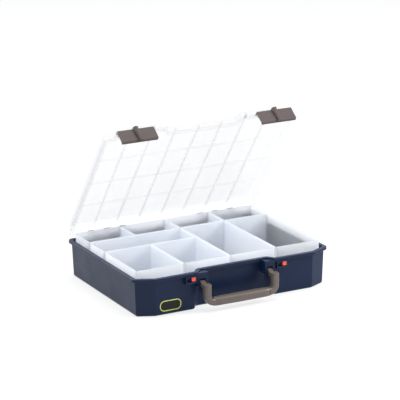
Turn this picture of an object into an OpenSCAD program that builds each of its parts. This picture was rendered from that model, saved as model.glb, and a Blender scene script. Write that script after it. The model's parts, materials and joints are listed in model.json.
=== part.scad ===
// Compartment carrying case: deep base with a rolled rim, clear ribbed lid on a
// pinned rear hinge, two sliding latches, a swinging handle and nine loose trays.
// Millimetres. +X is to the right seen from the handle side, +Y to the hinge,
// +Z up. The origin is on the floor, in the middle of the base. The lid is drawn
// half open.

/* [Case] */
// Width over the rim
case_w = 337; // [330:1:350]
// Depth over the rim, without the handle and the hinge
case_d = 252; // [246:1:264]
// Height of the top of the rim
rim_h = 60.5; // [56:0.5:66]
// Length of the corner cut along the front
cut_x = 31.5; // [26:0.5:33]
// Length of the corner cut along the side
cut_y = 14.7; // [10:0.1:15]
// Corner radius at the back
back_r = 9; // [5:0.5:12]
// Corner radius of the front cuts
cut_r = 7; // [4:0.5:9]
// Thickness of the base walls
wall = 2.2; // [1.8:0.1:2.4]
// Thickness of the base floor
floor_t = 2.4; // [1.8:0.1:3.2]
// How far the base walls lean in from rim to floor
draft = 1.9; // [0.5:0.1:2]
// Radius of the edge round the floor
floor_r = 3.5; // [2:0.5:4]

/* [Rim] */
// How far the rim stands out from the walls
rim_out = 4.6; // [4:0.1:4.8]
// Height of the rolled edge of the rim
lip_h = 5; // [4:0.1:5.4]
// Thickness of the rolled edge
lip_t = 1.9; // [1.4:0.1:2.2]

/* [Handle recess] */
// Width of the recess at the front of the rim
recess_w = 133; // [130:1:136]
// How far the recess goes back
recess_d = 12; // [9:0.5:12]
// Sideways run of the recess's slanted ends
recess_run = 9; // [7:0.5:11]
// Corner radius in the recess
recess_r = 1.5; // [1:0.5:2]

/* [Lid] */
// How far the lid is open, in degrees from closed
lid_open = 52.4; // [0:0.1:100]
// Height of the closed lid's top
lid_top = 79; // [78:0.5:84]
// Thickness of the flange that lies on the rim
flange_t = 3; // [2.4:0.1:3.4]
// Thickness of the lid's walls
lid_wall = 1.8; // [1.4:0.1:2.2]
// Thickness of the lid's panel
panel_t = 2; // [1.6:0.1:2.6]
// Width of the lid's ribs
rib_w = 1.3; // [1:0.1:2]
// Gap between the closed lid and the rim
seat_gap = 0.3; // [0.2:0.05:0.4]

/* [Hinge] */
// Radius of the lid's knuckles
knuckle_r = 3.4; // [3:0.1:3.6]
// Radius of the base's lugs
lug_r = 3.8; // [3.4:0.1:4.2]
// Width of a lug
lug_w = 9; // [7:0.5:11]
// Distance from one lug to the next
lug_pitch = 28; // [26:0.5:30]
// Distance from the middle of the case to the middle lug of a hinge
hinge_x = 98; // [90:1:104]
// Radius of the hinge pins
pin_r = 1.25; // [1:0.05:1.5]

/* [Latches] */
// Length of a latch
latch_l = 61; // [56:0.5:62]
// Thickness of a latch
latch_t = 2.2; // [1.8:0.1:2.4]
// Height of the lower edge of a latch on the closed case
latch_low = 41.6; // [40:0.1:42]
// How far a latch slides to lock
latch_travel = 20; // [19.5:0.5:20]
// Where a locked latch's inner end is
latch_in = 69; // [68.5:0.5:71]
// Thickness of the rail on the lid
rail_t = 1.6; // [1.3:0.1:2]
// Length of the rail's skirt below the flange
rail_drop = 2.3; // [1.8:0.1:2.5]
// Radius of the finger rib at its top
fin_r = 4.6; // [4:0.1:5]
// Radius of the finger rib at its foot
fin_foot_r = 3.2; // [2.4:0.1:3.6]

/* [Catches and indicators] */
// Width of a catch
catch_w = 19; // [16:0.5:19]
// Width of an indicator
indicator_w = 6.8; // [6:0.2:7]
// Height of an indicator
indicator_h = 6.6; // [5:0.2:7]

/* [Handle] */
// Distance from the middle of the case to the middle of an arm
arm_x = 58.2; // [58:0.1:59]
// Width of an arm
arm_w = 11; // [10:0.5:12]
// Thickness of the handle, front to back
arm_d = 13; // [10:0.5:14]
// Height of the top of the arms
arm_top = 43.5; // [42:0.5:44]
// Height of the underside of the grip
grip_low = 8.4; // [6:0.1:12]
// Height of the grip's section near its ends
grip_h = 13.5; // [12:0.5:14]
// How much higher the grip is in the middle
grip_swell = 1.5; // [0:0.1:2.5]
// Bend radius on the handle's centre line
bend_r = 10.5; // [8:0.5:11]
// Distance from the pivot forward to the middle of the arms
arm_reach = 17.4; // [15:0.1:18]
// Radius of the handle pivot pins
pivot_r = 1.6; // [1.3:0.05:1.8]

/* [Trays] */
// Height of a tray
tray_h = 68.1; // [62:0.1:68.5]
// Wall thickness of a tray
tray_wall = 1.3; // [1:0.1:1.8]
// Floor thickness of a tray
tray_floor = 1.5; // [1:0.1:2.5]
// How far a tray's walls lean in from top to bottom
tray_draft = 0.8; // [0.3:0.1:1.5]
// Corner radius of a tray
tray_r = 4; // [3:0.5:8]
// Gap between one tray and the next
tray_gap = 0.8; // [0.6:0.1:1.2]

/* [Badge] */
// Distance from the middle of the case to the middle of the badge
badge_x = 110.8; // [104:0.1:112]
// Height of the middle of the badge
badge_up = 14.6; // [14:0.1:24]
// Width of the plain badge
badge_w = 36; // [24:1:38]
// Height of the plain badge
badge_h = 17; // [10:0.5:20]
// Thickness of the badge
badge_t = 1; // [0.6:0.1:1.4]

/* [Hidden] */

slack = 0.05;           // running clearance of a pin in its bore
side_gap = 0.5;         // gap beside a lug or an ear
slide_gap = 0.3;        // gap between a latch and its rail
over = 1;               // how far a cutting shape runs past a face
edge = 0.5;             // chamfer along a rim
least_r = 2;            // smallest corner radius of an inset outline
hx = case_w / 2;
hy = case_d / 2;

// ---- outlines that can be inset, and solids lofted through them ----

function unit(v) = v / norm(v);
function inward(a, b) = let (e = unit(b - a)) [-e.y, e.x];
function turn(a, p, b) = let (e = unit(p - a), f = unit(b - p))
    atan2(e.x * f.y - e.y * f.x, e.x * f.x + e.y * f.y);

// One corner moved in by d, where the two edges stay parallel
function moved_in(a, p, b, d) = let (m = inward(a, p), n = inward(p, b))
    p + d * (m + n) / (1 + m * n);

// The points of one rounded corner
function corner_arc(a, p, b, r, steps) =
    let (t = turn(a, p, b), side = sign(t), cut = r * tan(abs(t) / 2),
         start = p - unit(p - a) * cut, centre = start + inward(a, p) * r * side,
         from = atan2(start.y - centre.y, start.x - centre.x))
    [for (k = [0:steps]) centre + r * [cos(from + t * k / steps), sin(from + t * k / steps)]];

// A closed outline, counter-clockwise, moved in by d, with its corners rounded.
// Outer corners get tighter as the outline moves in, inner corners get wider.
function outline(corners, radii, steps, d) =
    let (n = len(corners),
         prev = [for (i = [0:n - 1]) corners[(i + n - 1) % n]],
         next = [for (i = [0:n - 1]) corners[(i + 1) % n]],
         moved = [for (i = [0:n - 1]) moved_in(prev[i], corners[i], next[i], d)],
         bend = [for (i = [0:n - 1]) sign(turn(prev[i], corners[i], next[i]))])
    [for (i = [0:n - 1])
        for (q = corner_arc(moved[(i + n - 1) % n], moved[i], moved[(i + 1) % n],
                            max(radii[i] - bend[i] * d, least_r), steps[i])) q];

// Levels that round the foot of a wall whose inset is d, with radius r
function round_foot(r, d) = [for (a = [0:30:90]) [r * (1 - cos(a)), d + r * (1 - sin(a))]];

// Index of the first point of corner i in such an outline
function first_point(steps, i) = i == 0 ? 0 : first_point(steps, i - 1) + steps[i - 1] + 1;

// A solid through outlines, where each level is [height, inset]. Its flat ends are covered
// by fans: [hub, from, to] joins the point hub with each edge from point from to point to.
module loft(corners, radii, steps, fans, levels) {
    rings = [for (l = levels) outline(corners, radii, steps, l[1])];
    n = len(rings[0]);
    m = len(levels);
    points = [for (i = [0:m - 1]) for (q = rings[i]) [q.x, q.y, levels[i][0]]];
    sides = [for (i = [0:m - 2]) for (j = [0:n - 1])
        let (a = i * n + j, b = i * n + (j + 1) % n, c = b + n, d = a + n)
            each [[a, d, c], [a, c, b]]];
    low_end = [for (f = fans) for (j = [f[1]:f[2] - 1]) [f[0], j % n, (j + 1) % n]];
    last = (m - 1) * n;
    high_end = [for (t = low_end) [last + t[0], last + t[2], last + t[1]]];
    polyhedron(points = points, faces = concat(sides, low_end, high_end), convexity = 6);
}

// The case seen from above: cut front corners and the handle recess
case_corners = [
    [hx, hy], [-hx, hy], [-hx, -hy + cut_y], [-hx + cut_x, -hy],
    [-recess_w / 2, -hy], [-recess_w / 2 + recess_run, -hy + recess_d],
    [recess_w / 2 - recess_run, -hy + recess_d], [recess_w / 2, -hy],
    [hx - cut_x, -hy], [hx, -hy + cut_y]];
case_radii = [back_r, back_r, cut_r, cut_r,
              recess_r, recess_r, recess_r, recess_r, cut_r, cut_r];
case_steps = [5, 5, 3, 3, 2, 2, 2, 2, 3, 3];

// Fans left of the recess, behind it and right of it
back_left = first_point(case_steps, 1);
back_right = back_left - 1;
recess_left = first_point(case_steps, 6) - 1;
case_points = first_point(case_steps, len(case_steps));
case_fans = [[back_left, back_left + 1, recess_left],
             [recess_left, back_right, back_left],
             [back_right, recess_left, case_points + back_right - 1]];

module case_loft(levels) loft(case_corners, case_radii, case_steps, case_fans, levels);

module slab(x0, x1, y0, y1, z0, z1) {
    translate([x0, y0, z0]) cube([x1 - x0, y1 - y0, z1 - z0]);
}

// A round bar along X
module bar_x(x0, x1, y, z, r) {
    translate([x0, y, z]) rotate([0, 90, 0]) cylinder(r = r, h = x1 - x0, $fn = 48);
}

// ---- sizes that several pieces share ----

foot_in = rim_out + draft;                   // inset of the walls at the floor
rim_t = lip_t;                               // thickness of the rim's top
lip_low = rim_h - lip_h;                     // underside of the rolled edge
wall_lean = draft / (lip_low - floor_r);     // lean of the walls, per mm of height
lean_angle = atan(wall_lean);
function wall_inset(z) = foot_in - wall_lean * (z - floor_r);
inner_r = 1.2;                               // fillet round the inside of the floor

// Tray grid, four rows of eight cells inside the base
grid_cols = 8;
grid_rows = 4;
grid_gap = 0.5;
grid_in = foot_in + wall + grid_gap;
grid_x0 = -hx + grid_in;
grid_y0 = -hy + recess_d + grid_in;
cell_x = -2 * grid_x0 / grid_cols;
cell_y = (hy - grid_in - grid_y0) / grid_rows;
tray_foot = 2;                               // radius of the edge round a tray's floor
tray_z = floor_t + slide_gap;
tray_top = tray_z + tray_h;

// Closed lid
lid_low = rim_h + seat_gap;
flange_top = lid_low + flange_t;
flange_in = 0.4;
lid_in = rim_out + 0.4;                      // inset of the lid's walls
lid_draft = 0.5;
lid_edge = 3;
lid_inner = lid_in + lid_wall;
web_in = 0.2;                                // a web is this much thinner than the flange, each side
rib_low = tray_top + 1;                      // ribs end just above the trays

// Hinge axis
hinge_y = hy + 0.5;
hinge_z = lid_low + knuckle_r;
hinge_l = 2 * lug_pitch + lug_w;             // from the first lug to the last

// Latches and rail on the closed lid
rail_out = 2;                                // how far the rail stands in front of the rim
rail_front = -hy - rail_out;
rail_back = rail_front + rail_t;
rail_low = lid_low - rail_drop;
latch_face = rail_front - slide_gap - latch_t;
latch_high = flange_top + slide_gap + latch_t;
latch_mid = latch_in + latch_travel + latch_l / 2;
rail_x0 = latch_in - slide_gap;
rail_x1 = latch_mid + latch_l / 2 + slide_gap;
stop_w = 2.6;                                // width of the stop at each end of a rail
hook_t = 1.8;                                // thickness of the hook under the rail
fin_in = 0.8;                                // how far the rib's axis lies in front of the plate
curl_r = 3;                                  // outer radius where a latch's edges roll back
latch_r = 2.4;                               // radius of a plate's corners
latch_soft = 0.8;                            // radius of the other edges of a latch

// Catches under the rim, which a locked latch hooks under
catch_low = latch_low + latch_t + slide_gap;
catch_high = lip_low + 0.3;                  // runs up into the rolled edge
catch_face = rail_front + 0.1;
open_gap = 1;                                // gap between a catch and an open latch
catch_mid = latch_in + latch_travel - open_gap - catch_w / 2;
catch_edge = 1.4;                            // thickness of the frame round a pocket
pocket_d = 5;
insert_gap = 0.2;                            // gap round an indicator
pocket_high = catch_high - catch_edge;
pocket_low = pocket_high - indicator_h - 2 * insert_gap;
indicator_in = 0.8;                          // how far an indicator's face lies back
indicator_back = catch_face + pocket_d;
indicator_x = catch_w / 2 - catch_edge - indicator_w / 2 - insert_gap;

// Handle ears and pivot
ear_side = 3.5;                              // how far an ear reaches past an arm, each side
ear_low = 38.5;
ear_top = lip_low + 3;
ear_face = -hy + 0.4;
barrel_r = 3.6;                              // radius of the handle round its pivot
barrel_w = 8;
barrel_gap = 0.6;                            // gap between the barrel and the slot's end
neck_t = 6;
neck_in = 4;                                 // how far a neck runs into its arm
neck_w = barrel_w - 1;
neck_drop = 25;                              // slope of a neck, in degrees below level
pivot_y = ear_face + barrel_r + 0.2;
pivot_z = ear_low + barrel_r + barrel_gap;
arm_y = pivot_y - arm_reach;
slot_w = barrel_w + 2 * slide_gap;
ear_w = arm_w + 2 * ear_side;
slot_top = pivot_z + barrel_r + 3;           // clear of the neck when the handle swings out
slot_back = pivot_y + barrel_r + barrel_gap;

// ---- base ----

// The floor, the walls and the rolled rim in one profile: up the outside, over the
// rim and down the inside
module base_skin() case_loft(concat(round_foot(floor_r, foot_in), [
    [rim_h - rim_t, wall_inset(rim_h - rim_t)],
    [rim_h - rim_t, lip_t],
    [lip_low, lip_t],
    [lip_low, edge],
    [lip_low + edge, 0],
    [rim_h - edge, 0],
    [rim_h, edge],
    [rim_h, wall_inset(rim_h) + wall - edge],
    [rim_h - edge, wall_inset(rim_h) + wall],
    [floor_t + inner_r, foot_in + wall],
    [floor_t, foot_in + wall + inner_r]]));

// Everything inside the middle of the walls
module inside_walls() case_loft([
    [0, wall_inset(0) + wall / 2],
    [rim_h + over, wall_inset(rim_h + over) + wall / 2]]);

// One lug that carries a hinge pin, standing on the rim
module hinge_lug(x) {
    bar_x(x - lug_w / 2, x + lug_w / 2, hinge_y, hinge_z, lug_r);
    slab(x - lug_w / 2, x + lug_w / 2, hinge_y - lug_r, hinge_y + lug_r,
         lip_low + lip_t / 2, hinge_z);
}

// One ear that carries the handle, under the recessed part of the rim
module handle_ear(x) {
    slab(x - ear_w / 2, x + ear_w / 2, ear_face, -hy + recess_d + foot_in + wall,
         ear_low, ear_top);
}

module handle_slot(x) {
    slab(x - slot_w / 2, x + slot_w / 2, ear_face - over, slot_back, ear_low - over, slot_top);
}

// One catch, with the pocket that holds its indicator
module catch_block(x) {
    slab(x - catch_w / 2, x + catch_w / 2, catch_face, -hy + foot_in + wall,
         catch_low, catch_high);
}

module catch_pocket(x) {
    half = catch_w / 2 - catch_edge;
    slab(x - half, x + half, catch_face - over, indicator_back, pocket_low, pocket_high);
}

module base_shell() {
    color([0.13, 0.17, 0.29])
    difference() {
        union() {
            base_skin();
            for (side = [-1, 1], k = [-1:1]) hinge_lug(side * hinge_x + k * lug_pitch);
            difference() {
                for (side = [-1, 1]) {
                    handle_ear(side * arm_x);
                    catch_block(side * catch_mid);
                }
                inside_walls();
            }
        }
        for (side = [-1, 1]) {
            handle_slot(side * arm_x);
            catch_pocket(side * catch_mid);
            bar_x(side * arm_x - ear_w / 2 - over, side * arm_x + ear_w / 2 + over,
                  pivot_y, pivot_z, pivot_r + slack);
            bar_x(side * hinge_x - hinge_l / 2 - over, side * hinge_x + hinge_l / 2 + over,
                  hinge_y, hinge_z, pin_r + slack);
        }
    }
}

// ---- lid ----

// Places what is drawn on the closed lid where the open lid has it
module on_open_lid() {
    translate([0, hinge_y, hinge_z]) rotate([-lid_open, 0, 0])
        translate([0, -hinge_y, -hinge_z]) children();
}

// The panel, the walls and the flange in one profile: down the inside, round the
// flange and up the outside
module lid_skin() case_loft(concat([
    [lid_top - panel_t / 2, lid_inner + lid_draft],
    [lid_low, lid_inner],
    [lid_low, flange_in + edge],
    [lid_low + edge, flange_in],
    [flange_top - edge, flange_in],
    [flange_top, flange_in + edge],
    [flange_top, lid_in]],
    [for (a = [0:30:90])
        [lid_top - lid_edge * (1 - sin(a)), lid_in + lid_draft + lid_edge * (1 - cos(a))]]));

// The lower part of the panel, one flat face that the ribs stand on
module lid_ceiling() {
    edge_in = lid_inner + lid_draft - lid_wall / 8;
    translate([0, 0, lid_top - panel_t]) linear_extrude(0.6 * panel_t)
        polygon(outline(case_corners, case_radii, case_steps, edge_in));
}

// Ribs under the panel, above the walls between the trays, from wall to wall
module lid_ribs() {
    top = lid_top - 0.75 * panel_t;
    end_in = lid_in + lid_draft + lid_wall / 2;
    for (i = [1:grid_cols - 1]) {
        x = grid_x0 + i * cell_x;
        front = abs(x) < recess_w / 2 ? -hy + recess_d : -hy;
        slab(x - rib_w / 2, x + rib_w / 2, front + end_in, hy - end_in, rib_low, top);
    }
    for (j = [1:grid_rows - 1]) {
        y = grid_y0 + j * cell_y;
        slab(-hx + end_in, hx - end_in, y - rib_w / 2, y + rib_w / 2, rib_low, top);
    }
}

// Rail along the front flange, with a stop at each end of the latch's travel and
// a web that joins it to the flange
module latch_rail() {
    slab(rail_x0 - stop_w, rail_x1 + stop_w, rail_front, rail_back, rail_low, flange_top);
    slab(rail_x0, rail_x1, rail_back - rail_t / 2, -hy + lid_in + lid_wall / 2,
         lid_low + web_in, flange_top - web_in);
    slab(rail_x0 - stop_w, rail_x0, latch_face, rail_back, rail_low, flange_top);
    slab(rail_x1, rail_x1 + stop_w, latch_face, rail_back, rail_low, flange_top);
}

// Knuckles between the lugs
module lid_knuckle(x) {
    len = lug_pitch - lug_w - 2 * side_gap;
    bar_x(x - len / 2, x + len / 2, hinge_y, hinge_z, knuckle_r);
    slab(x - len / 2, x + len / 2, hy - lid_in, hinge_y, lid_low + web_in, flange_top - web_in);
}

module lug_notch(x) {
    half = lug_w / 2 + side_gap;
    slab(x - half, x + half, hinge_y - lug_r - side_gap, hy + over, lid_low - over, flange_top + over);
}

module closed_lid() {
    difference() {
        union() {
            difference() {
                union() {
                    lid_skin();
                    for (side = [0, 1]) mirror([side, 0, 0]) latch_rail();
                }
                for (side = [-1, 1], k = [-1:1]) lug_notch(side * hinge_x + k * lug_pitch);
            }
            lid_ceiling();
            lid_ribs();
            for (side = [-1, 1], k = [-0.5, 0.5]) lid_knuckle(side * hinge_x + k * lug_pitch);
        }
        for (side = [-1, 1])
            bar_x(side * hinge_x - hinge_l / 2, side * hinge_x + hinge_l / 2,
                  hinge_y, hinge_z, pin_r + slack);
    }
}

module lid() {
    color([0.86, 0.88, 0.9, 0.4])
    on_open_lid() closed_lid();
}

// ---- latches ----

module square_at(y0, y1, z0, z1) translate([y0, z0]) square([y1 - y0, z1 - z0]);

// A flat shape with its outer corners rounded
module softened(r) offset(r = r, $fn = 32) offset(delta = -r) children();

// Profile of a latch as [depth, height]: a plate with a hook over the flange, one
// under the rail, and one at the foot that goes under the catch
module latch_profile() {
    hook_back = -hy + lid_in - side_gap;
    intersection() {
        softened(latch_soft) {
            square_at(latch_face, latch_face + latch_t, latch_low, latch_high);
            square_at(latch_face, hook_back, latch_high - latch_t, latch_high);
            square_at(latch_face, rail_back, rail_low - slide_gap - hook_t, rail_low - slide_gap);
            square_at(latch_face, rail_back, latch_low, latch_low + latch_t);
        }
        softened(curl_r) square_at(latch_face, hook_back + 2 * curl_r, latch_low, latch_high);
    }
}

// The plate seen from the front, with rounded corners
module latch_front() {
    softened(latch_r) square_at(-latch_l / 2, latch_l / 2, latch_low, latch_high);
}

// Finger rib across the middle of the plate, a tapered half round as tall as the plate
module finger_rib() {
    intersection() {
        translate([0, latch_face - fin_in, latch_low])
            cylinder(r1 = fin_foot_r, r2 = fin_r, h = latch_high - latch_low, $fn = 48);
        slab(-latch_l / 2, latch_l / 2, latch_face - 2 * fin_r, latch_face + latch_t / 2,
             latch_low - over, latch_high + over);
    }
}

module closed_latch() {
    depth = lid_in - side_gap - hy - latch_face;
    intersection() {
        translate([-latch_l / 2, 0, 0]) rotate([90, 0, 90]) linear_extrude(latch_l) latch_profile();
        translate([0, latch_face + depth + over, 0]) rotate([90, 0, 0])
            linear_extrude(depth + 2 * over) latch_front();
    }
    finger_rib();
}

module latch(x) {
    color([0.44, 0.4, 0.39])
    on_open_lid() translate([x, 0, 0]) closed_latch();
}

module latch_left() latch(-latch_mid);
module latch_right() latch(latch_mid);

// ---- handle ----

section_r = 4;          // corner radius of the handle's section
grip_run = 8;           // length over which a bend grows to the grip's height
slice_t = 0.4;          // thickness of a slice that the grip is drawn through

module handle_section(w) {
    r = section_r;
    square([w - 2 * r, arm_d], center = true);
    square([w, arm_d - 2 * r], center = true);
    for (i = [-1, 1], j = [-1, 1])
        translate([i * (w / 2 - r), j * (arm_d / 2 - r)]) circle(r = r, $fn = 32);
}

// A slice of the grip, h high
module grip_slice(x, h) {
    translate([x, 0, 0]) rotate([0, 90, 0]) linear_extrude(slice_t, center = true)
        handle_section(h);
}

// Drawn with X across the case and Y up, then stood upright
module handle_bow() {
    mid = grip_low + grip_h / 2;
    grip_l = 2 * (arm_x - bend_r);
    for (side = [0, 1]) mirror([side, 0, 0]) {
        translate([arm_x, mid + bend_r, 0]) rotate([-90, 0, 0])
            linear_extrude(arm_top - mid - bend_r) handle_section(arm_w);
        translate([arm_x - bend_r, mid + bend_r, 0]) rotate([0, 0, -90])
            rotate_extrude(angle = 90, $fn = 64) translate([bend_r, 0]) handle_section(arm_w);
    }
    translate([0, mid, 0]) hull() {
        for (side = [-1, 1]) {
            grip_slice(side * grip_l / 2, arm_w);
            grip_slice(side * (grip_l / 2 - grip_run), grip_h);
        }
        grip_slice(0, grip_h + grip_swell);
    }
}

// The neck and barrel that join one arm to its pivot
module handle_neck() {
    bar_x(-barrel_w / 2, barrel_w / 2, pivot_y, pivot_z, barrel_r);
    from = (pivot_r + slack + sqrt(barrel_r * barrel_r - neck_t * neck_t / 4)) / 2;
    to = (arm_reach - arm_d / 2) / cos(neck_drop) + neck_in;
    translate([-neck_w / 2, pivot_y, pivot_z]) rotate([neck_drop, 0, 0])
        translate([0, -to, -neck_t / 2]) cube([neck_w, to - from, neck_t]);
}

module handle() {
    color([0.48, 0.44, 0.42])
    difference() {
        union() {
            translate([0, arm_y, 0]) rotate([90, 0, 0]) handle_bow();
            for (side = [-1, 1]) translate([side * arm_x, 0, 0]) handle_neck();
        }
        for (side = [-1, 1])
            bar_x(side * arm_x - barrel_w / 2 - over, side * arm_x + barrel_w / 2 + over,
                  pivot_y, pivot_z, pivot_r + slack);
    }
}

// ---- pins, each a little shorter than its bore ----

pin_short = 0.5;        // how far a pin's end lies inside its bore

module handle_pin(side) {
    half = ear_w / 2 - pin_short;
    color([0.72, 0.73, 0.75])
    bar_x(side * arm_x - half, side * arm_x + half, pivot_y, pivot_z, pivot_r);
}

module hinge_pin(side) {
    half = hinge_l / 2 - pin_short;
    color([0.72, 0.73, 0.75])
    bar_x(side * hinge_x - half, side * hinge_x + half, hinge_y, hinge_z, pin_r);
}

module handle_pin_left() handle_pin(-1);
module handle_pin_right() handle_pin(1);
module hinge_pin_left() hinge_pin(-1);
module hinge_pin_right() hinge_pin(1);

// ---- lock indicators ----

// An insert in the right half of each catch pocket
module lock_indicator(side) {
    color([0.91, 0.35, 0.27])
    translate([side * catch_mid + indicator_x, 0, 0])
        slab(-indicator_w / 2, indicator_w / 2, catch_face + indicator_in, indicator_back,
             pocket_low + insert_gap, pocket_high - insert_gap);
}

module lock_indicator_left() lock_indicator(-1);
module lock_indicator_right() lock_indicator(1);

// ---- badge ----

badge_r = 0.45;         // corner radius of the badge, as a share of its height
badge_edge = 1.5;       // width of its raised edge
badge_field = 0.4;      // how far the field inside the edge lies back

module badge_outline(d) {
    r = badge_r * badge_h - d;
    offset(r = r, $fn = 64)
        square([badge_w - 2 * (d + r), badge_h - 2 * (d + r)], center = true);
}

// A plain rounded plate on the left of the front wall, leaning as the wall does
module front_badge() {
    color([0.9, 0.8, 0.15])
    translate([-badge_x, -hy + wall_inset(badge_up), badge_up]) rotate([90 + lean_angle, 0, 0])
        difference() {
            linear_extrude(badge_t) badge_outline(0);
            translate([0, 0, badge_t - badge_field]) linear_extrude(badge_t)
                badge_outline(badge_edge);
        }
}

// ---- trays ----

// An open tray over some cells of the grid, counted from the front left cell
module tray(col, row, cols, rows) {
    w = cols * cell_x - tray_gap;
    d = rows * cell_y - tray_gap;
    corners = [[w / 2, d / 2], [-w / 2, d / 2], [-w / 2, -d / 2], [w / 2, -d / 2]];
    radii = [tray_r, tray_r, tray_r, tray_r];
    steps = [3, 3, 3, 3];
    fans = [[0, 1, first_point(steps, len(steps)) - 1]];
    inner = tray_draft + tray_wall;
    color([0.9, 0.92, 0.95, 0.7])
    translate([grid_x0 + (col + cols / 2) * cell_x, grid_y0 + (row + rows / 2) * cell_y, tray_z])
        difference() {
            loft(corners, radii, steps, fans,
                 concat(round_foot(tray_foot, tray_draft), [[tray_h, 0]]));
            loft(corners, radii, steps, fans, [[tray_floor, inner + tray_foot / 2],
                                               [tray_floor + tray_foot / 2, inner],
                                               [tray_h + over, tray_wall]]);
        }
}

module tray_back_1() tray(0, 3, 2, 1);
module tray_back_2() tray(2, 3, 2, 1);
module tray_back_3() tray(4, 3, 2, 1);
module tray_back_4() tray(6, 3, 2, 1);
module tray_wide() tray(0, 2, 4, 1);
module tray_square_1() tray(0, 0, 2, 2);
module tray_square_2() tray(2, 0, 2, 2);
module tray_long_1() tray(4, 0, 2, 3);
module tray_long_2() tray(6, 0, 2, 3);

base_shell();
lid();
latch_left();
latch_right();
handle();
handle_pin_left();
handle_pin_right();
hinge_pin_left();
hinge_pin_right();
lock_indicator_left();
lock_indicator_right();
front_badge();
tray_back_1();
tray_back_2();
tray_back_3();
tray_back_4();
tray_wide();
tray_square_1();
tray_square_2();
tray_long_1();
tray_long_2();
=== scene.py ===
# Looks, lights and camera for a compartment carrying case, half open, with nine trays.
import json
import math

import bmesh
import bpy
from mathutils import Matrix, Vector


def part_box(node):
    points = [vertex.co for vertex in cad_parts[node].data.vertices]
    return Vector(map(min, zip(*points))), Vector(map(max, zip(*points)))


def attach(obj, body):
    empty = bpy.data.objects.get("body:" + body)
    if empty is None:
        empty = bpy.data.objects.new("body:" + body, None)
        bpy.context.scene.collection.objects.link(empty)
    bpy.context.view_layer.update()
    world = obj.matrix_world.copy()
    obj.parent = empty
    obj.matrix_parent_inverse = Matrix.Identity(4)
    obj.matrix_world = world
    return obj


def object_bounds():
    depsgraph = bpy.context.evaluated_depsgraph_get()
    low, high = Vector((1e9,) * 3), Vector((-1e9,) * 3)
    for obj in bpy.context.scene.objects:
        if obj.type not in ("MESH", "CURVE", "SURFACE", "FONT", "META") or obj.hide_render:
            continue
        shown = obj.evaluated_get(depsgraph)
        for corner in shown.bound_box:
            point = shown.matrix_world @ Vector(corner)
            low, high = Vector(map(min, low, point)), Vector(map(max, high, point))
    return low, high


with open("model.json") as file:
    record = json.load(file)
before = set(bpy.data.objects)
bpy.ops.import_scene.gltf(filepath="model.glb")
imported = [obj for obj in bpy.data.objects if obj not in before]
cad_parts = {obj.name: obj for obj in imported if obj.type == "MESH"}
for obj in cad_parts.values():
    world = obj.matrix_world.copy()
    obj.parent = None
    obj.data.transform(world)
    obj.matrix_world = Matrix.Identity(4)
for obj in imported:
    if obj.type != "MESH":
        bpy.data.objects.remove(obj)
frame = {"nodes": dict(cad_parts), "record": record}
nodes = frame["nodes"]
sizeOfCad = [list(corner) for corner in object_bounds()]
print("case loaded:", len(nodes), "pieces")


def startMaterial(name):
    material = bpy.data.materials.new(name)
    material.use_nodes = True
    material.node_tree.nodes.clear()
    return material, material.node_tree


def addNode(tree, kind, values=None, **settings):
    node = tree.nodes.new(kind)
    for setting, value in settings.items():
        setattr(node, setting, value)
    for socket, value in (values or {}).items():
        node.inputs[socket].default_value = value
    return node


def noiseOver(tree, scale, detail=3.0, roughness=0.5):
    place = addNode(tree, "ShaderNodeTexCoord")
    noise = addNode(tree, "ShaderNodeTexNoise",
                    {"Scale": scale, "Detail": detail, "Roughness": roughness})
    tree.links.new(place.outputs["Object"], noise.inputs["Vector"])
    return noise.outputs["Fac"]


def spread(tree, source, low, high, fromLow=0.3, fromHigh=0.7):
    rangeNode = addNode(tree, "ShaderNodeMapRange",
                        {"From Min": fromLow, "From Max": fromHigh,
                         "To Min": low, "To Max": high})
    tree.links.new(source, rangeNode.inputs["Value"])
    return rangeNode.outputs["Result"]


def blendColours(tree, factor, first, second):
    mix = addNode(tree, "ShaderNodeMix", data_type="RGBA")
    tree.links.new(factor, mix.inputs["Factor"])
    for socket, colour in ((mix.inputs[6], first), (mix.inputs[7], second)):
        if isinstance(colour, bpy.types.NodeSocket):
            tree.links.new(colour, socket)
        else:
            socket.default_value = (*colour, 1)
    return mix.outputs[2]


edgeHighlightLook = {"samples": 6, "sharp": 0.8, "flat": 0.995, "patchScale": 140, "patchDetail": 4,
           "patchLeast": 0.35}


# Painted edge highlight: 0 on flat faces and up to the given amount along an edge, broken up by a noise
def paintedEdgeHighlight(tree, radius, amount):
    look = edgeHighlightLook
    rounded = addNode(tree, "ShaderNodeBevel", {"Radius": radius}, samples=look["samples"])
    flat = addNode(tree, "ShaderNodeNewGeometry")
    along = addNode(tree, "ShaderNodeVectorMath", operation="DOT_PRODUCT")
    tree.links.new(rounded.outputs["Normal"], along.inputs[0])
    tree.links.new(flat.outputs["Normal"], along.inputs[1])
    edge = spread(tree, along.outputs["Value"], amount, 0.0, look["sharp"], look["flat"])
    patches = noiseOver(tree, look["patchScale"], look["patchDetail"])
    patchy = spread(tree, patches, look["patchLeast"], 1.0, 0.35, 0.65)
    highlightShare = addNode(tree, "ShaderNodeMath", operation="MULTIPLY")
    tree.links.new(edge, highlightShare.inputs[0])
    tree.links.new(patchy, highlightShare.inputs[1])
    return highlightShare.outputs[0]


reliefLook = {"waveStrength": 0.6, "waveDetail": 2, "grainStrength": 0.7, "grainDetail": 5,
              "grainRoughness": 0.6}


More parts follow.
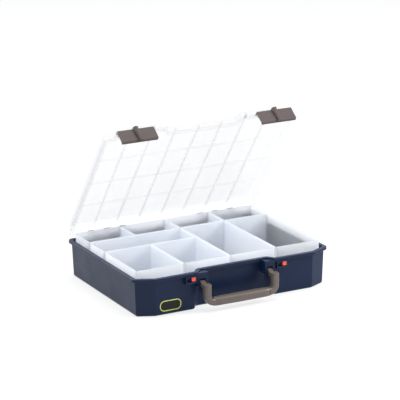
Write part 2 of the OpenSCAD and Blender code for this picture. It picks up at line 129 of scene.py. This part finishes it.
# Two noises as relief: the spark grain of the mould and a long, faint unevenness
def mouldedRelief(tree, grain, grainDepth, wave, waveDepth):
    look = reliefLook
    coarse = addNode(tree, "ShaderNodeBump", {"Strength": look["waveStrength"], "Distance": waveDepth})
    tree.links.new(noiseOver(tree, wave, look["waveDetail"]), coarse.inputs["Height"])
    fine = addNode(tree, "ShaderNodeBump", {"Strength": look["grainStrength"], "Distance": grainDepth})
    grained = noiseOver(tree, grain, look["grainDetail"], look["grainRoughness"])
    tree.links.new(grained, fine.inputs["Height"])
    tree.links.new(coarse.outputs["Normal"], fine.inputs["Normal"])
    return fine.outputs["Normal"]


def finishMaterial(tree, shader):
    output = addNode(tree, "ShaderNodeOutputMaterial")
    tree.links.new(shader, output.inputs["Surface"])


blotches = {"scale": 9, "detail": 4, "glossScale": 30}  # uneven colour and gloss of a moulding
# The lightest colour of each plastic, with the amount after it, is a painted highlight laid along its
# sharp edges
mouldedPlastics = {
    "navyShell": {"dark": (0.0040, 0.0130, 0.044), "light": (0.0062, 0.0172, 0.055),
                  "highlightTone": (0.050, 0.060, 0.105), "highlightShare": 0.5, "edge": 0.0009,
                  "gloss": (0.28, 0.40), "specular": 0.21, "grain": 1500, "grainDepth": 0.00006,
                  "wave": 22, "waveDepth": 0.0009},
    # The latch plates get a darker copy of the handle's taupe plastic: painted shade that holds back the
    # stronger light falling on them
    "taupeLatchWithPaintedShade": {"dark": (0.087, 0.070, 0.068), "light": (0.103, 0.083, 0.080),
                   "highlightTone": (0.26, 0.225, 0.215), "highlightShare": 0.45, "edge": 0.0006,
                   "gloss": (0.40, 0.52), "specular": 0.25, "grain": 1800, "grainDepth": 0.00005,
                   "wave": 45, "waveDepth": 0.0004},
    "taupeHandle": {"dark": (0.122, 0.098, 0.088), "light": (0.145, 0.118, 0.107),
                    "highlightTone": (0.32, 0.28, 0.26), "highlightShare": 0.35, "edge": 0.0012,
                    "gloss": (0.24, 0.38), "specular": 0.40, "grain": 1500, "grainDepth": 0.00003,
                    "wave": 35, "waveDepth": 0.0006},
    "orangeIndicator": {"dark": (0.82, 0.105, 0.055), "light": (0.90, 0.135, 0.078),
                        "highlightTone": (0.88, 0.25, 0.18), "highlightShare": 0.3, "edge": 0.0004,
                        "gloss": (0.38, 0.5), "specular": 0.4, "grain": 2200, "grainDepth": 0.00003,
                        "wave": 80, "waveDepth": 0.0002},
    "badgeEdge": {"dark": (0.50, 0.56, 0.12), "light": (0.62, 0.67, 0.20),
                  "highlightTone": (0.80, 0.82, 0.50), "highlightShare": 0.6, "edge": 0.0005,
                  "gloss": (0.25, 0.36), "specular": 0.5, "grain": 2500, "grainDepth": 0.00002,
                  "wave": 90, "waveDepth": 0.0002},
    "badgeField": {"dark": (0.005, 0.006, 0.005), "light": (0.009, 0.010, 0.008),
                   "highlightTone": (0.05, 0.05, 0.045), "highlightShare": 0.3, "edge": 0.0004,
                   "gloss": (0.16, 0.28), "specular": 0.25, "grain": 2500, "grainDepth": 0.00002,
                   "wave": 70, "waveDepth": 0.0003}}


def mouldedPlastic(name):
    look = mouldedPlastics[name]
    material, tree = startMaterial(name)
    plastic = addNode(tree, "ShaderNodeBsdfPrincipled",
                      {"Specular IOR Level": look["specular"], "IOR": 1.5})
    blotch = spread(tree, noiseOver(tree, blotches["scale"], blotches["detail"]), 0, 1)
    body = blendColours(tree, blotch, look["dark"], look["light"])
    # painted highlight: a lighter colour along the sharp edges
    highlighted = blendColours(tree, paintedEdgeHighlight(tree, look["edge"], look["highlightShare"]), body, look["highlightTone"])
    tree.links.new(highlighted, plastic.inputs["Base Color"])
    gloss = spread(tree, noiseOver(tree, blotches["glossScale"], blotches["detail"]), *look["gloss"])
    tree.links.new(gloss, plastic.inputs["Roughness"])
    relief = mouldedRelief(tree, look["grain"], look["grainDepth"], look["wave"], look["waveDepth"])
    tree.links.new(relief, plastic.inputs["Normal"])
    finishMaterial(tree, plastic.outputs["BSDF"])
    return material


clearLidLook = {"tint": (0.90, 0.90, 0.91), "paintedGrazingShade": (0.56, 0.56, 0.58), "body": 0.05, "edge": 0.56,
                "edgeStart": 0.34, "gloss": (0.05, 0.14), "glossScale": 24, "wave": 14,
                "waveStrength": 0.5, "waveDepth": 0.0009, "through": (0.985, 0.986, 0.988)}


# A polished see-through plastic: faint on its faces, denser where it is seen along its edges, where its
# colour turns to a painted grey shade
def clearLid():
    look = clearLidLook
    material, tree = startMaterial("clearLid")
    plastic = addNode(tree, "ShaderNodeBsdfPrincipled", {"Specular IOR Level": 0.5, "IOR": 1.55})
    facing = addNode(tree, "ShaderNodeLayerWeight", {"Blend": 0.5})
    share = spread(tree, facing.outputs["Facing"], 0.0, 1.0, look["edgeStart"], 1.0)
    # painted shade: the colour turns grey where the lid is seen at a grazing angle
    tint = blendColours(tree, share, look["tint"], look["paintedGrazingShade"])
    tree.links.new(tint, plastic.inputs["Base Color"])
    gloss = spread(tree, noiseOver(tree, look["glossScale"], 3), *look["gloss"])
    tree.links.new(gloss, plastic.inputs["Roughness"])
    wave = addNode(tree, "ShaderNodeBump",
                   {"Strength": look["waveStrength"], "Distance": look["waveDepth"]})
    tree.links.new(noiseOver(tree, look["wave"], 2), wave.inputs["Height"])
    tree.links.new(wave.outputs["Normal"], plastic.inputs["Normal"])
    through = addNode(tree, "ShaderNodeBsdfTransparent", {"Color": (*look["through"], 1)})
    dense = spread(tree, share, look["body"], look["edge"], 0.0, 1.0)
    mix = addNode(tree, "ShaderNodeMixShader")
    tree.links.new(dense, mix.inputs["Fac"])
    tree.links.new(through.outputs["BSDF"], mix.inputs[1])
    tree.links.new(plastic.outputs["BSDF"], mix.inputs[2])
    finishMaterial(tree, mix.outputs["Shader"])
    return material


# The lightest white, with the amount after it, is a painted highlight along the tray's sharp edges
trayLook = {"dark": (0.935, 0.954, 0.985), "light": (0.955, 0.968, 0.99), "highlightTone": (0.97, 0.975, 0.985),
            "gloss": (0.28, 0.42), "through": 0.13, "glow": 0.56, "edge": 0.0006, "highlightShare": 0.6,
            "blotchScale": 12, "glossScale": 40, "grain": 1300, "grainDepth": 0.00003,
            "wave": 26, "waveDepth": 0.0006, "clear": (0.95, 0.965, 0.985)}


# White plastic that light passes through and that shows a little of what is behind it
def translucentTray():
    look = trayLook
    material, tree = startMaterial("translucentTray")
    plastic = addNode(tree, "ShaderNodeBsdfPrincipled", {"Specular IOR Level": 0.4, "IOR": 1.49})
    blotch = spread(tree, noiseOver(tree, look["blotchScale"], 3), 0, 1)
    body = blendColours(tree, blotch, look["dark"], look["light"])
    # painted highlight: a lighter white along the sharp edges
    highlighted = blendColours(tree, paintedEdgeHighlight(tree, look["edge"], look["highlightShare"]), body, look["highlightTone"])
    tree.links.new(highlighted, plastic.inputs["Base Color"])
    gloss = spread(tree, noiseOver(tree, look["glossScale"], 4), *look["gloss"])
    tree.links.new(gloss, plastic.inputs["Roughness"])
    relief = mouldedRelief(tree, look["grain"], look["grainDepth"], look["wave"], look["waveDepth"])
    tree.links.new(relief, plastic.inputs["Normal"])
    glow = addNode(tree, "ShaderNodeBsdfTranslucent")
    tree.links.new(highlighted, glow.inputs["Color"])
    lit = addNode(tree, "ShaderNodeMixShader", {"Fac": look["glow"]})
    tree.links.new(plastic.outputs["BSDF"], lit.inputs[1])
    tree.links.new(glow.outputs["BSDF"], lit.inputs[2])
    through = addNode(tree, "ShaderNodeBsdfTransparent", {"Color": (*look["clear"], 1)})
    wall = addNode(tree, "ShaderNodeNewGeometry")  # the far side of a wall is clear, so a wall shows once
    share = addNode(tree, "ShaderNodeMath", {1: look["through"]}, operation="MAXIMUM")
    tree.links.new(wall.outputs["Backfacing"], share.inputs[0])
    seen = addNode(tree, "ShaderNodeMixShader")
    tree.links.new(share.outputs[0], seen.inputs["Fac"])
    tree.links.new(lit.outputs["Shader"], seen.inputs[1])
    tree.links.new(through.outputs["BSDF"], seen.inputs[2])
    finishMaterial(tree, seen.outputs["Shader"])
    return material


pinLook = {"dark": (0.46, 0.47, 0.49), "light": (0.62, 0.63, 0.65), "gloss": (0.22, 0.38),
           "stretch": (40, 2600, 2600), "scratchStrength": 0.4, "scratchDepth": 0.00002}


# Bright steel with fine streaks along the pin
def drawnSteel():
    material, tree = startMaterial("drawnSteel")
    steel = addNode(tree, "ShaderNodeBsdfPrincipled", {"Metallic": 1.0})
    place = addNode(tree, "ShaderNodeTexCoord")
    stretch = addNode(tree, "ShaderNodeMapping", {"Scale": pinLook["stretch"]})
    streaks = addNode(tree, "ShaderNodeTexNoise", {"Scale": 1.0, "Detail": 3.0})
    tree.links.new(place.outputs["Object"], stretch.inputs["Vector"])
    tree.links.new(stretch.outputs["Vector"], streaks.inputs["Vector"])
    tone = spread(tree, streaks.outputs["Fac"], 0, 1)
    tree.links.new(blendColours(tree, tone, pinLook["dark"], pinLook["light"]),
                   steel.inputs["Base Color"])
    tree.links.new(spread(tree, streaks.outputs["Fac"], *pinLook["gloss"]), steel.inputs["Roughness"])
    scratch = addNode(tree, "ShaderNodeBump",
                      {"Strength": pinLook["scratchStrength"], "Distance": pinLook["scratchDepth"]})
    tree.links.new(streaks.outputs["Fac"], scratch.inputs["Height"])
    tree.links.new(scratch.outputs["Normal"], steel.inputs["Normal"])
    finishMaterial(tree, steel.outputs["BSDF"])
    return material


finishes = {"navy_shell": mouldedPlastic("navyShell"), "latch": mouldedPlastic("taupeLatchWithPaintedShade"),
            "handle": mouldedPlastic("taupeHandle"), "indicator": mouldedPlastic("orangeIndicator"),
            "badge": mouldedPlastic("badgeEdge"), "clear_lid": clearLid(),
            "tray": translucentTray(), "pin": drawnSteel()}
badgeFieldFinish = mouldedPlastic("badgeField")
print("finishes made:", len(finishes) + 1)


softEdges = {"navy_shell": 0.00045, "clear_lid": 0.0003, "latch": 0.0002, "handle": 0.0006,
             "badge": 0.0002, "indicator": 0.0003, "tray": 0.0003}
softEdgeLook = {"join": 0.00001, "plainAngle": 1.0, "sharpAngle": 35.0, "segments": 2}


# Rounds the sharp edges of a piece by a small width
def softenEdges(piece, width):
    look = softEdgeLook
    join = piece.modifiers.new("joinCorners", "WELD")
    join.merge_threshold = look["join"]
    flatten = piece.modifiers.new("plainFaces", "DECIMATE")
    flatten.decimate_type = "DISSOLVE"
    flatten.angle_limit = math.radians(look["plainAngle"])
    soften = piece.modifiers.new("softEdge", "BEVEL")
    soften.width = width
    soften.segments = look["segments"]
    soften.limit_method = "ANGLE"
    soften.angle_limit = math.radians(look["sharpAngle"])
    soften.harden_normals = True


slotOfNode = {part["node"]: part["material_slot"] for part in frame["record"]["subparts"]}
for name, piece in nodes.items():
    slot = slotOfNode[name]
    piece.data.materials.clear()
    piece.data.materials.append(finishes[slot])
    if slot in softEdges:
        softenEdges(piece, softEdges[slot])
print("finishes put on", len(nodes), "pieces")


badgeFieldLook = {"halfWidth": 0.01644, "halfHeight": 0.00694, "corner": 0.0061, "bendSteps": 12,
                  "foot": 0.00062, "brim": 0.00080, "brimRound": 0.00006, "brimShare": 0.993,
                  "crown": 0.00016, "rings": 5, "lean": 2.093, "plateHalf": 0.0005}


# Points of a rectangle with rounded corners, counter-clockwise
def roundedOutline(halfWidth, halfHeight, corner, steps):
    points = []
    for quarter, (sx, sy) in enumerate(((1, 1), (-1, 1), (-1, -1), (1, -1))):
        for step in range(steps + 1):
            angle = math.radians(90 * (quarter + step / steps))
            points.append((sx * (halfWidth - corner) + corner * math.cos(angle),
                           sy * (halfHeight - corner) + corner * math.sin(angle)))
    return points


# A thin black plate, a little domed, that lies in the hollow of the badge
def badgeField():
    look = badgeFieldLook
    low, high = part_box("front_badge")
    lean = math.radians(look["lean"])
    outward = Vector((0, -math.cos(lean), -math.sin(lean)))
    upright = Vector((0, -math.sin(lean), math.cos(lean)))
    middle = (low + high) / 2 - outward * look["plateHalf"]
    mesh = bmesh.new()
    rings = []
    heights = [(1.0, look["foot"]), (1.0, look["brim"] - look["brimRound"]),
               (look["brimShare"], look["brim"])]
    for ring in range(1, look["rings"]):
        share = 1 - ring / look["rings"]
        heights.append((share, look["brim"] + look["crown"] * (1 - share * share)))
    for share, height in heights:
        outline = roundedOutline(look["halfWidth"] * share, look["halfHeight"] * share,
                                 look["corner"] * share, look["bendSteps"])
        rings.append([mesh.verts.new(middle + Vector((x, 0, 0)) + upright * y + outward * height)
                      for x, y in outline])
    for lower, upper in zip(rings, rings[1:]):
        for k in range(len(lower)):
            after = (k + 1) % len(lower)
            mesh.faces.new((lower[k], lower[after], upper[after], upper[k]))
    mesh.faces.new(rings[-1])
    mesh.faces.new(list(reversed(rings[0])))
    bmesh.ops.recalc_face_normals(mesh, faces=mesh.faces)
    for face in mesh.faces:
        face.smooth = len(face.verts) == 4
    data = bpy.data.meshes.new("badge_field")
    mesh.to_mesh(data)
    mesh.free()
    field = bpy.data.objects.new("badge_field", data)
    bpy.context.scene.collection.objects.link(field)
    data.materials.append(badgeFieldFinish)
    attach(field, "base")
    return field


badgeField()
print("badge field laid in")


# 1 where the camera sees a thing straight, in a mirror or through the lid
def directOrMirrored(tree, path):
    both = addNode(tree, "ShaderNodeMath", operation="MAXIMUM")
    tree.links.new(path.outputs["Is Camera Ray"], both.inputs[0])
    tree.links.new(path.outputs["Is Glossy Ray"], both.inputs[1])
    three = addNode(tree, "ShaderNodeMath", operation="MAXIMUM")
    tree.links.new(both.outputs[0], three.inputs[0])
    tree.links.new(path.outputs["Is Transmission Ray"], three.inputs[1])
    return three.outputs[0]


stageLook = {"floorTone": 0.85, "glow": 0.72, "lit": 0.30, "size": 14.0, "gap": 0.0002}


# A floor that looks nearly white and still shows the shadow of the case
def paleFloor():
    material, tree = startMaterial("paleFloor")
    path = addNode(tree, "ShaderNodeLightPath")
    tone = stageLook["floorTone"]
    plain = addNode(tree, "ShaderNodeBsdfDiffuse", {"Color": (tone, tone, tone, 1)})
    lit = stageLook["lit"]
    faint = addNode(tree, "ShaderNodeBsdfDiffuse", {"Color": (lit, lit, lit, 1)})
    white = addNode(tree, "ShaderNodeEmission", {"Strength": stageLook["glow"]})
    seen = addNode(tree, "ShaderNodeAddShader")
    tree.links.new(faint.outputs["BSDF"], seen.inputs[0])
    tree.links.new(white.outputs["Emission"], seen.inputs[1])
    pick = addNode(tree, "ShaderNodeMixShader")
    tree.links.new(directOrMirrored(tree, path), pick.inputs["Fac"])
    tree.links.new(plain.outputs["BSDF"], pick.inputs[1])
    tree.links.new(seen.outputs["Shader"], pick.inputs[2])
    finishMaterial(tree, pick.outputs["Shader"])
    return material


floorMesh = bpy.data.meshes.new("studioFloor")
half = stageLook["size"] / 2
floorMesh.from_pydata([(-half, -half, 0), (half, -half, 0), (half, half, 0), (-half, half, 0)],
                      [], [(0, 1, 2, 3)])
floor = bpy.data.objects.new("studioFloor", floorMesh)
floor.location.z = sizeOfCad[0][2] - stageLook["gap"]
floorMesh.materials.append(paleFloor())
bpy.context.scene.collection.objects.link(floor)

roomLook = {"colour": (0.95, 0.97, 1.0, 1), "strength": 0.55, "seen": (1, 1, 1, 1), "seenStrength": 1.0}
world = bpy.data.worlds.new("softRoom")
bpy.context.scene.world = world
world.use_nodes = True
room = world.node_tree
room.nodes.clear()
roomPath = addNode(room, "ShaderNodeLightPath")
roomLight = addNode(room, "ShaderNodeBackground",
                    {"Color": roomLook["colour"], "Strength": roomLook["strength"]})
roomWhite = addNode(room, "ShaderNodeBackground",
                    {"Color": roomLook["seen"], "Strength": roomLook["seenStrength"]})
roomPick = addNode(room, "ShaderNodeMixShader")
roomOut = addNode(room, "ShaderNodeOutputWorld")
room.links.new(directOrMirrored(room, roomPath), roomPick.inputs["Fac"])
room.links.new(roomLight.outputs["Background"], roomPick.inputs[1])
room.links.new(roomWhite.outputs["Background"], roomPick.inputs[2])
room.links.new(roomPick.outputs["Shader"], roomOut.inputs["Surface"])

lampLooks = {
    "keyLamp": {"place": (1.9, -1.1, 1.5), "size": 0.8, "power": 44, "colour": (1.0, 0.985, 0.965)},
    "fillLamp": {"place": (-1.3, 1.7, 1.0), "size": 1.6, "power": 26, "colour": (0.96, 0.975, 1.0)},
    "topLamp": {"place": (0.0, 0.0, 2.4), "size": 1.6, "power": 32, "colour": (1.0, 1.0, 1.0)}}
lampAim = Vector((0, 0, 0.08))
for name, look in lampLooks.items():
    lamp = bpy.data.lights.new(name, "AREA")
    lamp.size = look["size"]
    lamp.energy = look["power"]
    lamp.color = look["colour"]
    holder = bpy.data.objects.new(name, lamp)
    holder.location = look["place"]
    aim = lampAim - Vector(look["place"])
    holder.rotation_euler = aim.to_track_quat("-Z", "Y").to_euler()
    bpy.context.scene.collection.objects.link(holder)

cameraLook = {"azimuth": -27.605, "elevation": 16.271, "distance": 3.2476, "target": (0.0040, 0.0, 0.1313),
              "lens": 187.73, "sensor": 36.0, "roll": 0.689, "near": 0.05, "far": 50.0}
azimuth = math.radians(cameraLook["azimuth"])
elevation = math.radians(cameraLook["elevation"])
back = Vector((math.sin(azimuth) * math.cos(elevation), -math.cos(azimuth) * math.cos(elevation),
               math.sin(elevation)))
side = Vector((math.cos(azimuth), math.sin(azimuth), 0))
upward = back.cross(side)
level = Matrix((side, upward, back)).transposed()
turned = level @ Matrix.Rotation(-math.radians(cameraLook["roll"]), 3, "Z")
camera = bpy.data.cameras.new("photoCamera")
camera.lens = cameraLook["lens"]
camera.sensor_width = cameraLook["sensor"]
camera.clip_start = cameraLook["near"]
camera.clip_end = cameraLook["far"]
cameraHolder = bpy.data.objects.new("photoCamera", camera)
standpoint = Vector(cameraLook["target"]) + back * cameraLook["distance"]
cameraHolder.matrix_world = Matrix.Translation(standpoint) @ turned.to_4x4()
bpy.context.scene.collection.objects.link(cameraHolder)
bpy.context.scene.camera = cameraHolder
bpy.context.scene.view_settings.view_transform = "Standard"
print("stage, lamps and camera set")
